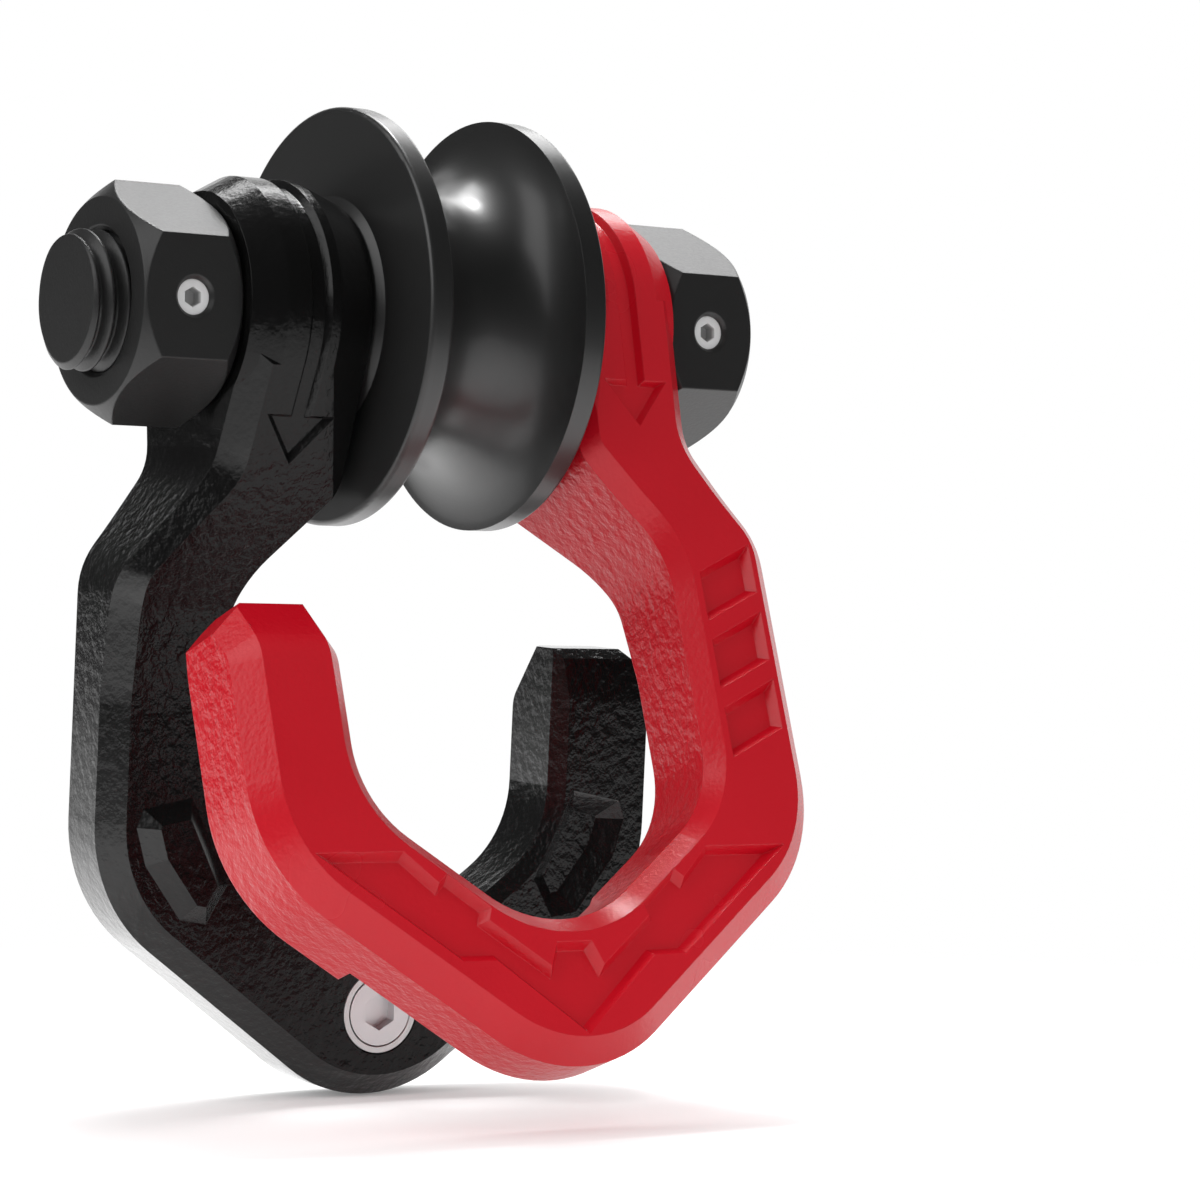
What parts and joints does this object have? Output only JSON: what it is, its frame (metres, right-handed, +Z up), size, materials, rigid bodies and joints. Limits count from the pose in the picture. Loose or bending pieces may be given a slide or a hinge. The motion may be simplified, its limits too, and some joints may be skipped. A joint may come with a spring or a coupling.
{
  "type": "snatch block",
  "caption": "Snatch block with a rope pulley on a shaft between two hinged, magnet-latched hooks held by hexagon nuts.",
  "frame": {"origin": "centre of the pulley on the shaft's axis", "axes": "+X along the shaft from the black hook's eye to the red hook's eye, +Z up away from the hooks, +Y away from the side towards which the red hook leans"},
  "size_m": [0.1293, 0.0965, 0.1743],
  "materials": {
    "red_paint": "satin powder coat over a forging",
    "black_paint": "semi-gloss powder coat over a forging",
    "black_anodised": "turned and black anodised, satin",
    "black_steel": "black coated steel, satin",
    "bright_steel": "plain stainless",
    "magnet_plate": "nickel plated, satin"
  },
  "bodies": {
    "shaft": {"shaft": "black_steel", "left_nut": "black_steel", "right_nut": "black_steel", "left_grub_screw": "bright_steel", "right_grub_screw": "bright_steel"},
    "pulley": {"pulley": "black_anodised"},
    "red_hook": {"red_hook": "red_paint", "red_magnet": "magnet_plate", "red_magnet_screw": "bright_steel"},
    "black_hook": {"black_hook": "black_paint", "black_magnet": "magnet_plate", "black_magnet_screw": "bright_steel"}
  },
  "joints": [
    {"name": "pulley_spin", "type": "hinge", "parent": "shaft", "child": "pulley", "pos_m": [0, 0, 0], "axis": [1, 0, 0], "continuous": true},
    {"name": "red_hook_swing", "type": "hinge", "parent": "shaft", "child": "red_hook", "pos_m": [0, 0, 0], "axis": [-1, 0, 0], "range_deg": [-18.4, 143.6]},
    {"name": "black_hook_swing", "type": "hinge", "parent": "shaft", "child": "black_hook", "pos_m": [0, 0, 0], "axis": [1, 0, 0], "range_deg": [-3.64, 158.36]}
  ]
}
